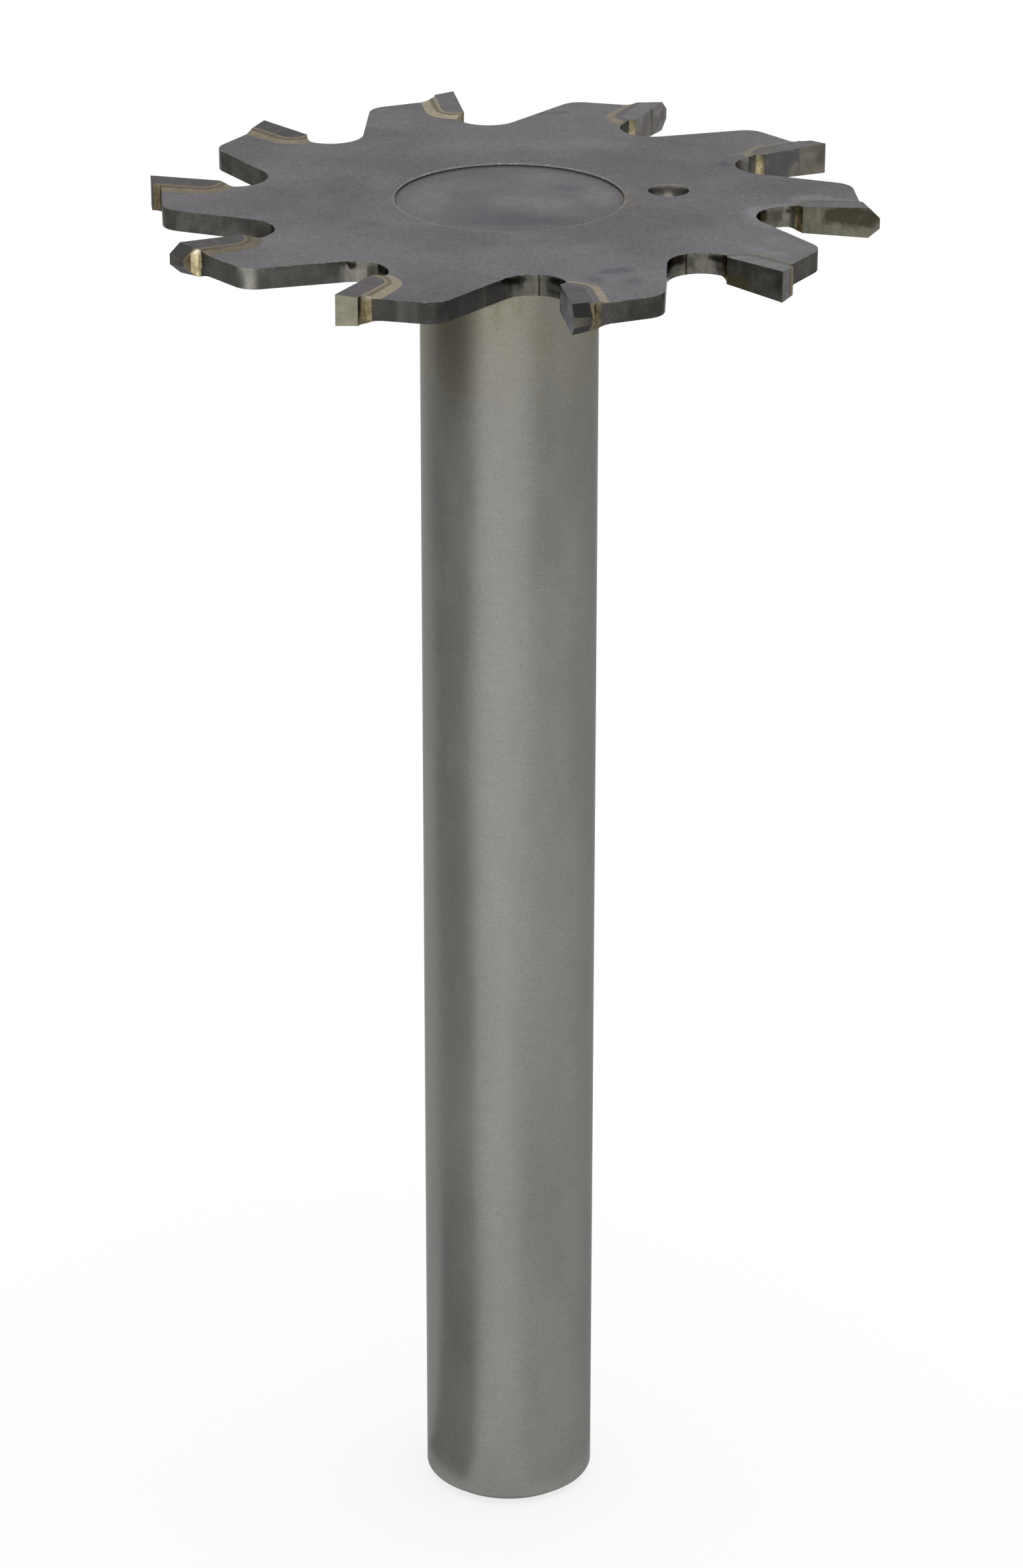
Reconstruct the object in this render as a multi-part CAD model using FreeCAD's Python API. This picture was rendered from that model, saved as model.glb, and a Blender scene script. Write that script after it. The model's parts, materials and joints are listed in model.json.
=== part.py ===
"""Slotting cutter bit on a long plain shank.

A thin saw plate with ten brazed carbide tips sits on the head of a turned shank. The bit stands on
the end of its shank: the origin is the centre of that end face and +Z runs up the axis to the plate.
Every second tip has both outer corners ground away, so square tips and trapezoid tips take turns.
The tips face clockwise as seen from the plate's end, so the bit cuts in left-hand rotation.

One tooth is drawn on the +X axis, with X as its radial direction and Y pointing to its back. It is
then copied round the axis. Sizes are in millimetres and angles in degrees.
"""
import FreeCAD, Part
import math
import os

# Shank and head
SHANK_DIAMETER = 12.7
SHANK_LENGTH = 99.3          # from the end face to the underside of the collar
SHANK_CHAMFER_WIDTH = 0.8    # across the end face
SHANK_CHAMFER_HEIGHT = 0.6   # along the axis
COLLAR_DIAMETER = 19.0
COLLAR_HEIGHT = 2.0
COLLAR_FILLET = 1.0          # between shank and collar
COLLAR_EDGE_BREAK = 0.3
HEAD_RECESS = 0.18           # the head stops this far under the plate's upper face
HEAD_EDGE_BREAK = 0.05

# Saw plate
PLATE_THICKNESS = 1.5
BORE_DIAMETER = 16.1
BORE_EDGE_BREAK = 0.08
HUB_FILM = 0.06              # braze between the head and the bore
HOLE_DIAMETER = 2.9
HOLE_CIRCLE_RADIUS = 11.3
HOLE_ANGLE = 7.4

# Teeth of the plate
TOOTH_COUNT = 10
FIRST_TOOTH_ANGLE = 27.2
CUTTING_DIAMETER = 51.44     # over the square tips
GULLET_DEPTH = 8.05          # from the square tips' edge to the bottom of a gullet
GULLET_RADIUS = 2.35
GULLET_UNDERCUT = 0.65       # the gullet's wall stands this far behind the cutting face
BACK_LEAN = 12.2             # lean of a tooth's back from its own radial line
BACK_CORNER_RADIUS = 1.7
LAND_DROP = 1.12             # from the square tips' edge down to the plate just behind the tip
LAND_RELIEF = 13.0
SEAT_CORNER_RADIUS = 0.8

# Carbide tips
TIP_THICKNESS = 1.5
TIP_LENGTH = 5.07            # radial length of the square tips
TIP_CORNER_RADIUS = 1.2
TRAPEZOID_RISE = 0.33        # the trapezoid tips stand this far above the square ones
KERF = 2.2                   # width of the square tips at their cutting edge
TRAPEZOID_LAND = 0.75        # what is left of the outer edge between the ground corners
CORNER_GRIND_DEPTH = 0.81    # radial depth of the ground corners
OUTER_RELIEF = 15.0
RADIAL_SIDE_CLEARANCE = 1.65
BACK_SIDE_CLEARANCE = 3.5

# Braze round the tips
TIP_FILM = 0.12              # between tip and seat
BEAD_WIDTH = 1.25            # from the tip to the toe of the bead on the plate
BEAD_HEIGHT = 0.42           # of the bead on the tip, before the sides are ground
BEAD_SAG_PLACE = 0.4         # where the hollow of the bead is measured, as a share of its width
BEAD_SAG_HEIGHT = 0.32       # height left there, as a share of the bead's height
BEAD_LAND_REACH = 0.6        # from the tip's back to the toe of the bead on the land
BEAD_GULLET_HOLLOW = 0.18    # depth of the hollow in the bead's edge under the tip

UP = FreeCAD.Vector(0, 0, 1)
PITCH = 360.0 / TOOTH_COUNT
PLATE_BOTTOM = SHANK_LENGTH + COLLAR_HEIGHT
PLATE_TOP = PLATE_BOTTOM + PLATE_THICKNESS
PLATE_MIDDLE = PLATE_BOTTOM + PLATE_THICKNESS / 2
HEAD_TOP = PLATE_TOP - HEAD_RECESS
HEAD_RADIUS = BORE_DIAMETER / 2 - HUB_FILM
SQUARE_TIP_RADIUS = CUTTING_DIAMETER / 2
TRAPEZOID_TIP_RADIUS = SQUARE_TIP_RADIUS + TRAPEZOID_RISE
TIP_INNER_RADIUS = SQUARE_TIP_RADIUS - TIP_LENGTH
LAND_RADIUS = SQUARE_TIP_RADIUS - LAND_DROP
GULLET_ROOT_RADIUS = SQUARE_TIP_RADIUS - GULLET_DEPTH
SEAT_FLOOR = TIP_INNER_RADIUS - TIP_FILM
SEAT_WALL = TIP_THICKNESS + TIP_FILM
CUTTER_SIZE = 4 * TRAPEZOID_TIP_RADIUS   # of a block that cuts away all that lies beyond a plane


def flat(x, y):
    """Point in the plane z = 0."""
    return FreeCAD.Vector(x, y, 0)


def turned_by(point, degrees):
    """Point turned about the bit's axis."""
    return FreeCAD.Rotation(UP, degrees).multVec(point)


def line(start, end):
    """Straight edge."""
    return Part.LineSegment(start, end).toShape()


def arc(start, through, end):
    """Round edge through three points."""
    return Part.Arc(start, through, end).toShape()


def rounding(before, corner, after, radius):
    """Start, middle and end of the arc that rounds the corner between two straight edges."""
    back = (before - corner).normalize()
    ahead = (after - corner).normalize()
    half_angle = back.getAngle(ahead) / 2
    setback = radius / math.tan(half_angle)
    inward = (back + ahead).normalize()
    nearest = radius / math.sin(half_angle) - radius
    return corner + back * setback, corner + inward * nearest, corner + ahead * setback


def crossing(point, direction, other_point, other_direction):
    """Point where two lines of the plane meet."""
    between = other_point - point
    turn = direction.cross(other_direction).z
    return point + direction * (between.cross(other_direction).z / turn)


def prism(edges, bottom, height):
    """Solid over a closed outline."""
    outline = Part.Wire(edges)
    outline.translate(UP * bottom)
    return Part.Face(outline).extrude(UP * height)


def beyond(point, normal):
    """Block that fills the space beyond a plane."""
    half = CUTTER_SIZE / 2
    block = Part.makeBox(CUTTER_SIZE, CUTTER_SIZE, CUTTER_SIZE, FreeCAD.Vector(-half, -half, 0))
    block.Placement = FreeCAD.Placement(point, FreeCAD.Rotation(UP, normal))
    return block


def shank():
    """Turned shank with its collar and the head that goes through the plate."""
    radius = SHANK_DIAMETER / 2
    collar = COLLAR_DIAMETER / 2
    bend = COLLAR_FILLET * (1 - math.sqrt(0.5))

    def at(distance, height):
        return FreeCAD.Vector(distance, 0, height)

    shank_top = at(radius, SHANK_LENGTH - COLLAR_FILLET)
    collar_root = at(radius + COLLAR_FILLET, SHANK_LENGTH)
    below = [at(0, 0), at(radius - SHANK_CHAMFER_WIDTH, 0), at(radius, SHANK_CHAMFER_HEIGHT), shank_top]
    above = [
        collar_root,
        at(collar - COLLAR_EDGE_BREAK, SHANK_LENGTH),
        at(collar, SHANK_LENGTH + COLLAR_EDGE_BREAK),
        at(collar, PLATE_BOTTOM),
        at(HEAD_RADIUS, PLATE_BOTTOM),
        at(HEAD_RADIUS, HEAD_TOP - HEAD_EDGE_BREAK),
        at(HEAD_RADIUS - HEAD_EDGE_BREAK, HEAD_TOP),
        at(0, HEAD_TOP),
    ]
    edges = [line(a, b) for a, b in zip(below, below[1:])]
    edges.append(arc(shank_top, at(radius + bend, SHANK_LENGTH - bend), collar_root))
    edges += [line(a, b) for a, b in zip(above, above[1:])]
    edges.append(line(above[-1], below[0]))
    return Part.Face(Part.Wire(edges)).revolve(FreeCAD.Vector(), UP, 360)


def hub_braze_ring():
    """Thin ring of braze between the head and the bore of the plate."""
    height = HEAD_TOP - HEAD_EDGE_BREAK - PLATE_BOTTOM
    seat = FreeCAD.Vector(0, 0, PLATE_BOTTOM)
    return Part.makeCylinder(BORE_DIAMETER / 2, height, seat).cut(
        Part.makeCylinder(HEAD_RADIUS, height, seat))


def gullet_centre():
    """Centre of the gullet in front of the tooth on the +X axis."""
    aside = GULLET_UNDERCUT - GULLET_RADIUS
    return flat(math.sqrt((GULLET_ROOT_RADIUS + GULLET_RADIUS) ** 2 - aside ** 2), aside)


def seat_lip():
    """Point where the gullet runs out into the floor of the tip's seat."""
    centre = gullet_centre()
    rise = SEAT_FLOOR - centre.x
    return flat(SEAT_FLOOR, centre.y + math.sqrt(GULLET_RADIUS ** 2 - rise ** 2))


def land_direction():
    """Direction of the plate's land, from the tip towards the back of the tooth."""
    relief = math.radians(LAND_RELIEF)
    return flat(-math.sin(relief), math.cos(relief))


def back_foot():
    """Point where the back of the tooth runs out into the next tooth's gullet."""
    lean = math.radians(BACK_LEAN)
    return turned_by(gullet_centre(), PITCH) + flat(-math.sin(lean), -math.cos(lean)) * GULLET_RADIUS


def tooth_outline():
    """Edges of one pitch of the plate, from its gullet round the tooth to the next gullet."""
    lean = math.radians(BACK_LEAN)
    centre = gullet_centre()
    gullet_start = turned_by(back_foot(), -PITCH)
    gullet_bottom = centre * (GULLET_ROOT_RADIUS / centre.Length)
    seat_corner = flat(SEAT_FLOOR, SEAT_WALL)
    land_start = flat(LAND_RADIUS, SEAT_WALL)
    back_corner = crossing(land_start, land_direction(), back_foot(), flat(math.cos(lean), -math.sin(lean)))
    seat_start, seat_middle, seat_end = rounding(seat_lip(), seat_corner, land_start, SEAT_CORNER_RADIUS)
    back_start, back_middle, back_end = rounding(land_start, back_corner, back_foot(), BACK_CORNER_RADIUS)
    return [
        arc(gullet_start, gullet_bottom, seat_lip()),
        line(seat_lip(), seat_start),
        arc(seat_start, seat_middle, seat_end),
        line(seat_end, land_start),
        line(land_start, back_start),
        arc(back_start, back_middle, back_end),
        line(back_end, back_foot()),
    ]


def plate_blank():
    """Toothed plate with its bore, the first tooth on the +X axis."""
    edges = []
    for tooth in range(TOOTH_COUNT):
        for edge in tooth_outline():
            edge.rotate(FreeCAD.Vector(), UP, tooth * PITCH)
            edges.append(edge)
    plate = prism(Part.__sortEdges__(edges), PLATE_BOTTOM, PLATE_THICKNESS)
    bore = Part.makeCylinder(BORE_DIAMETER / 2, PLATE_THICKNESS, FreeCAD.Vector(0, 0, PLATE_BOTTOM))
    edge_break = Part.makeCone(
        BORE_DIAMETER / 2, BORE_DIAMETER / 2 + BORE_EDGE_BREAK, BORE_EDGE_BREAK,
        FreeCAD.Vector(0, 0, PLATE_TOP - BORE_EDGE_BREAK))
    return plate.cut(bore).cut(edge_break)


def saw_plate():
    """Plate turned to its place, with the small hole through it."""
    plate = plate_blank()
    plate.rotate(FreeCAD.Vector(), UP, FIRST_TOOTH_ANGLE)
    hole_place = turned_by(flat(HOLE_CIRCLE_RADIUS, 0), HOLE_ANGLE) + UP * PLATE_BOTTOM
    return plate.cut(Part.makeCylinder(HOLE_DIAMETER / 2, PLATE_THICKNESS, hole_place))


def side_grinding():
    """Blocks beyond the two ground sides, which narrow towards the axis and towards the back."""
    inwards = math.tan(math.radians(RADIAL_SIDE_CLEARANCE))
    backwards = math.tan(math.radians(BACK_SIDE_CLEARANCE))
    blocks = []
    for side in (1, -1):
        edge_point = FreeCAD.Vector(SQUARE_TIP_RADIUS, 0, PLATE_MIDDLE + side * KERF / 2)
        blocks.append(beyond(edge_point, FreeCAD.Vector(-inwards, backwards, side)))
    return blocks


def outer_grinding(radius):
    """Block beyond the relieved outer end of a tip."""
    relief = math.radians(OUTER_RELIEF)
    return beyond(FreeCAD.Vector(radius, 0, PLATE_MIDDLE), flat(math.cos(relief), math.sin(relief)))


def corner_grinding():
    """Blocks beyond the two ground corners of a trapezoid tip, relieved like its outer end."""
    width = (KERF - TRAPEZOID_LAND) / 2
    back_off = math.hypot(width, CORNER_GRIND_DEPTH) * math.tan(math.radians(OUTER_RELIEF))
    blocks = []
    for side in (1, -1):
        edge_point = FreeCAD.Vector(TRAPEZOID_TIP_RADIUS, 0, PLATE_MIDDLE + side * TRAPEZOID_LAND / 2)
        blocks.append(beyond(edge_point, FreeCAD.Vector(width, back_off, side * CORNER_GRIND_DEPTH)))
    return blocks


def tip_blank(radius):
    """Pressed carbide block with its inner back corner rounded, before grinding."""
    front_inner = flat(TIP_INNER_RADIUS, 0)
    back_inner = flat(TIP_INNER_RADIUS, TIP_THICKNESS)
    back_outer = flat(radius, TIP_THICKNESS)
    front_outer = flat(radius, 0)
    start, middle, end = rounding(front_inner, back_inner, back_outer, TIP_CORNER_RADIUS)
    edges = [
        line(front_inner, start),
        arc(start, middle, end),
        line(end, back_outer),
        line(back_outer, front_outer),
        line(front_outer, front_inner),
    ]
    return prism(edges, PLATE_MIDDLE - KERF, 2 * KERF)


def square_grinding():
    """Blocks beyond the ground faces of a tip with a straight outer edge."""
    return side_grinding() + [outer_grinding(SQUARE_TIP_RADIUS)]


def trapezoid_grinding():
    """Blocks beyond the ground faces of a tip with both outer corners ground away."""
    return side_grinding() + corner_grinding() + [outer_grinding(TRAPEZOID_TIP_RADIUS)]


def bead_section(foot, outward):
    """Cross-section of the braze where it stands on the tip: hollow above and below the plate."""

    def at(distance, height):
        return foot + outward * distance + UP * (PLATE_MIDDLE + height)

    half_plate = PLATE_THICKNESS / 2
    crest = half_plate + BEAD_HEIGHT
    sag = half_plate + BEAD_HEIGHT * BEAD_SAG_HEIGHT
    sag_place = BEAD_WIDTH * BEAD_SAG_PLACE
    edges = [
        line(at(0, -crest), at(0, crest)),
        arc(at(0, crest), at(sag_place, sag), at(BEAD_WIDTH, half_plate)),
        line(at(BEAD_WIDTH, half_plate), at(BEAD_WIDTH, -half_plate)),
        arc(at(BEAD_WIDTH, -half_plate), at(sag_place, -sag), at(0, -crest)),
    ]
    return Part.Face(Part.Wire(edges))


def bead_round_tip():
    """Braze section carried along the back, the rounded corner and the inner end of a tip."""
    corner_centre = flat(TIP_INNER_RADIUS + TIP_CORNER_RADIUS, TIP_THICKNESS - TIP_CORNER_RADIUS)
    back = bead_section(corner_centre + flat(0, TIP_CORNER_RADIUS), flat(0, 1))
    inner = bead_section(corner_centre - flat(TIP_CORNER_RADIUS, 0), flat(-1, 0))
    along_back = back.extrude(flat(SQUARE_TIP_RADIUS - corner_centre.x, 0))
    round_corner = back.revolve(corner_centre, UP, 90)
    along_inner_end = inner.extrude(flat(0, -corner_centre.y))
    return along_back.fuse([round_corner, along_inner_end]).removeSplitter()


def gullet_meniscus():
    """Hollow edge of the braze from the tip's inner end down to the wall of the gullet."""
    tip_edge = flat(TIP_INNER_RADIUS, 0)
    foot = flat(TIP_INNER_RADIUS - BEAD_WIDTH, GULLET_UNDERCUT)
    inward = turned_by(foot - tip_edge, -90).normalize()
    return tip_edge, (tip_edge + foot) / 2 + inward * BEAD_GULLET_HOLLOW, foot


def land_meniscus():
    """Hollow edge of the braze from the tip's back corner, running out flush on the land."""
    heel = flat(SQUARE_TIP_RADIUS - TIP_THICKNESS * math.tan(math.radians(OUTER_RELIEF)), TIP_THICKNESS)
    land_start = flat(LAND_RADIUS, SEAT_WALL)
    toe = land_start + land_direction() * (TIP_THICKNESS + BEAD_LAND_REACH - SEAT_WALL)
    outward = turned_by(land_direction(), -90)
    rise = heel - toe
    radius = rise.Length ** 2 / (2 * rise.dot(outward))
    centre = toe + outward * radius
    nearest = ((toe - centre) + (heel - centre)).normalize() * radius
    return toe, centre + nearest, heel


def bead_reach():
    """Block that holds the braze, from the meniscus in the gullet to the one on the land."""
    toe, land_hollow, heel = land_meniscus()
    tip_edge, gullet_hollow, foot = gullet_meniscus()
    corners = [
        foot,
        foot - flat(BEAD_WIDTH, 0),
        flat(foot.x - BEAD_WIDTH, toe.y + BEAD_WIDTH),
        toe + land_direction() * BEAD_WIDTH,
        toe,
    ]
    edges = [line(a, b) for a, b in zip(corners, corners[1:])]
    edges += [
        arc(toe, land_hollow, heel),
        line(heel, flat(heel.x, 0)),
        line(flat(heel.x, 0), tip_edge),
        arc(tip_edge, gullet_hollow, foot),
    ]
    return prism(edges, PLATE_MIDDLE - KERF, 2 * KERF)


def tip_braze(plate, grinding):
    """Braze of one tip: the film in its seat and the beads on both faces of the plate."""
    return bead_round_tip().common(bead_reach()).cut(grinding + [plate])


def export(name, shape):
    """Write one piece."""
    shape.exportStep("parts/" + name + ".step")
    print(name, "valid" if shape.isValid() else "NOT VALID", len(shape.Solids), round(shape.Volume, 3))


def main():
    """Make every piece of the bit."""
    os.makedirs("parts", exist_ok=True)
    export("shank", shank())
    export("saw_plate", saw_plate())
    export("hub_braze_ring", hub_braze_ring())
    plate = plate_blank()
    square = square_grinding()
    trapezoid = trapezoid_grinding()
    tips = [tip_blank(SQUARE_TIP_RADIUS).cut(square), tip_blank(TRAPEZOID_TIP_RADIUS).cut(trapezoid)]
    brazes = [tip_braze(plate, square), tip_braze(plate, trapezoid)]
    for tooth in range(TOOTH_COUNT):
        number = "{:02d}".format(tooth + 1)
        kind = tooth % len(tips)
        for name, shape in (("carbide_tip_", tips[kind]), ("tip_braze_", brazes[kind])):
            piece = shape.copy()
            piece.rotate(FreeCAD.Vector(), UP, FIRST_TOOTH_ANGLE + tooth * PITCH)
            export(name + number, piece)


main()
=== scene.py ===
"""Dressed model of a long-shank slotting router bit: shank, toothed saw plate and ten brazed tips."""

import json
import logging
import math
from dataclasses import dataclass
from enum import Enum
from functools import reduce

import bmesh
import bpy
from mathutils import Matrix, Vector

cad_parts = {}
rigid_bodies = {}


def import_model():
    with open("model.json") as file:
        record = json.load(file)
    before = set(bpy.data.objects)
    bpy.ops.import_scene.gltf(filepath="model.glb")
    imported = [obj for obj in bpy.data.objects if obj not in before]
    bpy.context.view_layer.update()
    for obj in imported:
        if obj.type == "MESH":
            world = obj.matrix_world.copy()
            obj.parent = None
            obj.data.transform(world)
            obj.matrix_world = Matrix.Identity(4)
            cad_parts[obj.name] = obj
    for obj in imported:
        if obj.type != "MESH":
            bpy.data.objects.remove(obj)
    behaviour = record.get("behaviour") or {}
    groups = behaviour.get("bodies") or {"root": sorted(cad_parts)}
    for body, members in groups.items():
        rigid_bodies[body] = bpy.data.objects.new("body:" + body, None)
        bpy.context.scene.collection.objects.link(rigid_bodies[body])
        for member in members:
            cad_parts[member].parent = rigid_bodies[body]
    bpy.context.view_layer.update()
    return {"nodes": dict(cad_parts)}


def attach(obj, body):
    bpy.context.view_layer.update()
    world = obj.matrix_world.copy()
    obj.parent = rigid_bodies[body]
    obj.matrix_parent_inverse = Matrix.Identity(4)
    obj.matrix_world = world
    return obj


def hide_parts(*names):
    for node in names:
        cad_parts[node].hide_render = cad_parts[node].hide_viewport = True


for leftover in list(bpy.data.objects):
    bpy.data.objects.remove(leftover)
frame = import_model()

LOG = logging.getLogger("router_bit")
MM = 0.001
ROOT = "root"
SHANK_RADIUS = 6.35 * MM
HEAD_FOOT = 101.0 * MM
PLATE_MIDDLE = 102.05 * MM
UPPER_SIDE = 102.4 * MM
TOOTH_COUNT = 10
FIRST_TOOTH_ANGLE = 27.2
GULLET_X = 19.95 * MM
GULLET_Y = -1.70 * MM
GULLET_RADIUS = 2.35 * MM
CREASE_ANGLE = 160.0
METAL_TINT = (0.6, 0.6, 0.6)
GRAIN_SCALE = 8000.0
GRAIN_MARGIN = 0.32
SPOT_HEIGHT = 1000.0

Colour = tuple[float, float, float]
Socket = bpy.types.NodeSocket
Feed = Socket | float | Colour | tuple[float, ...]


class TipForm(Enum):
    """The two ways in which the carbide tips are ground."""

    SQUARE = "square"
    TRAPEZOID = "trapezoid"


@dataclass(frozen=True)
class Mark:
    """One soft oval mark on a steel surface: middle and half sizes in millimetres, turn in degrees."""

    x: float
    y: float
    length: float
    width: float
    strength: float
    turn: float = 0.0
    core: float = 0.3


class ShaderGraph:
    """Builds the node tree of one material with short calls."""

    def __init__(self, name: str) -> None:
        """Starts a material with its shader and its object coordinates.

        Args:
            name: name of the new material.
        """
        self.material = bpy.data.materials.new(name)
        self.material.use_nodes = True
        self.tree = self.material.node_tree
        self.shader = self.tree.nodes["Principled BSDF"]
        place = self.node("TexCoord", {})
        self.place: Socket = place.outputs["Object"]
        self.normal: Socket = place.outputs["Normal"]

    def feed(self, socket: Socket, value: Feed) -> None:
        """Links a socket to an input, or writes a plain value on it.

        Args:
            socket: the input that gets the value.
            value: another node's output, a number, a colour or a vector.
        """
        if isinstance(value, bpy.types.NodeSocket):
            self.tree.links.new(value, socket)
        elif isinstance(value, tuple) and socket.type == "RGBA":
            socket.default_value = (*value[:3], 1.0)
        else:
            socket.default_value = value

    def node(self, kind: str, inputs: dict[int | str, Feed], **settings: str) -> bpy.types.Node:
        """Adds a node.

        Args:
            kind: Blender's name of its type, without ShaderNode.
            inputs: values of its inputs, by number or name.
            settings: its own settings, which are made first.

        Returns:
            The node.
        """
        node = self.tree.nodes.new(f"ShaderNode{kind}")
        for name, choice in settings.items():
            setattr(node, name, choice)
        for name, value in inputs.items():
            self.feed(node.inputs[name], value)
        return node

    def metal(self, colour: Socket, roughness: Socket, relief: Socket, depth: float) -> bpy.types.Material:
        """Sets the shader up as bare metal.

        Args:
            colour: its colour.
            roughness: its roughness.
            relief: height of its surface marks, from 0 to 1.
            depth: height of the marks in metres at value 1.

        Returns:
            The finished material.
        """
        bump = self.node("Bump", {"Height": relief, "Distance": depth})
        for name, value in (("Base Color", colour), ("Metallic", 1.0), ("Specular Tint", METAL_TINT),
                            ("Roughness", roughness), ("Normal", bump.outputs[0])):
            self.feed(self.shader.inputs[name], value)
        return self.material

    def maths(self, operation: str, first: Feed, second: Feed = 0.0, third: Feed = 0.0) -> Socket:
        """Adds a Math node.

        Args:
            operation: Blender's name of the operation.
            first: first input.
            second: second input.
            third: third input.

        Returns:
            The node's output.
        """
        return self.node("Math", {0: first, 1: second, 2: third}, operation=operation).outputs[0]

    def product(self, *factors: Feed) -> Socket:
        """Multiplies several values, at least one of them a socket."""
        return reduce(lambda first, second: self.maths("MULTIPLY", first, second), factors)

    def total(self, *parts: Feed) -> Socket:
        """Adds several values, at least one of them a socket."""
        return reduce(lambda first, second: self.maths("ADD", first, second), parts)

    def less(self, whole: Feed, part: Feed) -> Socket:
        """Takes one value from another."""
        return self.maths("SUBTRACT", whole, part)

    def axes(self, vector: Socket) -> tuple[Socket, Socket, Socket]:
        """Splits a vector into its three parts."""
        return tuple(self.node("SeparateXYZ", {0: vector}).outputs)

    def vector(self, x: Feed, y: Feed, z: Feed) -> Socket:
        """Joins three values into a vector."""
        return self.node("CombineXYZ", {0: x, 1: y, 2: z}).outputs[0]

    def scaled(self, vector: Socket, factors: tuple[float, float, float]) -> Socket:
        """Multiplies a vector part by part."""
        return self.node("VectorMath", {0: vector, 1: factors}, operation="MULTIPLY").outputs[0]

    def turned(self, vector: Socket, degrees: float) -> Socket:
        """Turns a place back about the bit's axis by a tooth's angle, so that its x runs along that tooth."""
        inputs = {"Vector": vector, "Angle": -math.radians(degrees)}
        return self.node("VectorRotate", inputs, rotation_type="Z_AXIS").outputs[0]

    def ramp(self, value: Socket, low: float, high: float, start: float = 0.0, end: float = 1.0) -> Socket:
        """Maps a range of a value smoothly onto another, held at both ends.

        Args:
            value: the value that is mapped.
            low: value at which the result is start.
            high: value at which the result is end.
            start: first end of the result.
            end: other end of the result.

        Returns:
            The mapped value.
        """
        inputs = {0: value, 1: low, 2: high, 3: start, 4: end}
        return self.node("MapRange", inputs, interpolation_type="SMOOTHSTEP").outputs[0]

    def spread(self, noise: Socket, start: float = 0.0, end: float = 1.0, margin: float = 0.3) -> Socket:
        """Maps the usual range of a noise onto another, as ramp does.

        Args:
            noise: the noise.
            start: first end of the result.
            end: other end of the result.
            margin: what the usual range leaves free at 0 and at 1.

        Returns:
            The mapped value.
        """
        return self.ramp(noise, margin, 1.0 - margin, start, end)

    def noise(self, scale: float, detail: float = 2.0, vector: Socket | None = None,
              rough: float = 0.5) -> Socket:
        """Adds a noise texture.

        Args:
            scale: number of features in a metre.
            detail: number of finer layers.
            vector: place that is read, or None for the object's own.
            rough: share of each finer layer.

        Returns:
            The noise, about 0.5 in the mean.
        """
        place = self.place if vector is None else vector
        inputs = {"Vector": place, "Scale": scale, "Detail": detail, "Roughness": rough}
        return self.node("TexNoise", inputs).outputs[0]

    def warped(self, scale: float, reach: float) -> Socket:
        """Shifts the object's own place to and fro, so that spots read from it get uneven outlines.

        Args:
            scale: number of shifts in a metre.
            reach: size of the shifts in metres.

        Returns:
            The shifted place.
        """
        shifts = self.noise(scale, 3.0).node.outputs["Color"]
        back = self.node("VectorMath", {0: self.place, 1: (reach,) * 3}, operation="SUBTRACT")
        inputs = {0: shifts, 1: (2 * reach,) * 3, 2: back.outputs[0]}
        return self.node("VectorMath", inputs, operation="MULTIPLY_ADD").outputs[0]

    def spot(self, place: Socket, mark: Mark) -> Socket:
        """Makes a soft oval spot that reaches through the plate's thickness.

        Args:
            place: the place that is read.
            mark: the spot's middle, size, turn and strength.

        Returns:
            A mask from 0 to the mark's strength.
        """
        inputs = {"Vector": place, "Location": (mark.x * MM, mark.y * MM, 0.0),
                  "Rotation": (0.0, 0.0, math.radians(mark.turn)),
                  "Scale": (mark.length * MM, mark.width * MM, SPOT_HEIGHT)}
        inside = self.node("Mapping", inputs, vector_type="TEXTURE").outputs[0]
        away = self.node("VectorMath", {0: inside}, operation="LENGTH").outputs["Value"]
        return self.ramp(away, 1.0, mark.core, 0.0, mark.strength)

    def spots(self, place: Socket, marks: tuple[Mark, ...]) -> Socket:
        """Adds up the masks of several spots, read from one place."""
        return self.total(*(self.spot(place, mark) for mark in marks))

    def blend(self, factor: Feed, first: Feed, second: Feed) -> Socket:
        """Mixes two colours.

        Args:
            factor: share of the second colour.
            first: colour at factor 0.
            second: colour at factor 1.

        Returns:
            The mixed colour.
        """
        return self.node("Mix", {0: factor, 6: first, 7: second}, data_type="RGBA").outputs[2]

    def between(self, factor: Feed, first: Feed, second: Feed) -> Socket:
        """Mixes two numbers, as blend does colours."""
        return self.node("Mix", {0: factor, 2: first, 3: second}).outputs[0]

    def shaded(self, colour: Feed, brightness: Socket) -> Socket:
        """Multiplies a colour by a grey value, 1 for no change."""
        inputs = {0: 1.0, 6: colour, 7: brightness}
        return self.node("Mix", inputs, data_type="RGBA", blend_type="MULTIPLY").outputs[2]

    def upward(self) -> Socket:
        """Gives how far the surface faces up or down, from 0 to 1."""
        return self.maths("ABSOLUTE", self.axes(self.normal)[2])

    def place_around(self, radius: float) -> tuple[Socket, Socket]:
        """Gives the place in polar form.

        Args:
            radius: radius in metres at which the angle is turned into a length.

        Returns:
            The distance from the axis, and the length along the circle of that radius.
        """
        x, y, _ = self.axes(self.place)
        return self.length(x, y), self.maths("MULTIPLY", self.maths("ARCTAN2", y, x), radius)

    def length(self, x: Feed, y: Feed) -> Socket:
        """Gives the length of a flat vector."""
        return self.maths("SQRT", self.total(self.product(x, x), self.product(y, y)))

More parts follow.
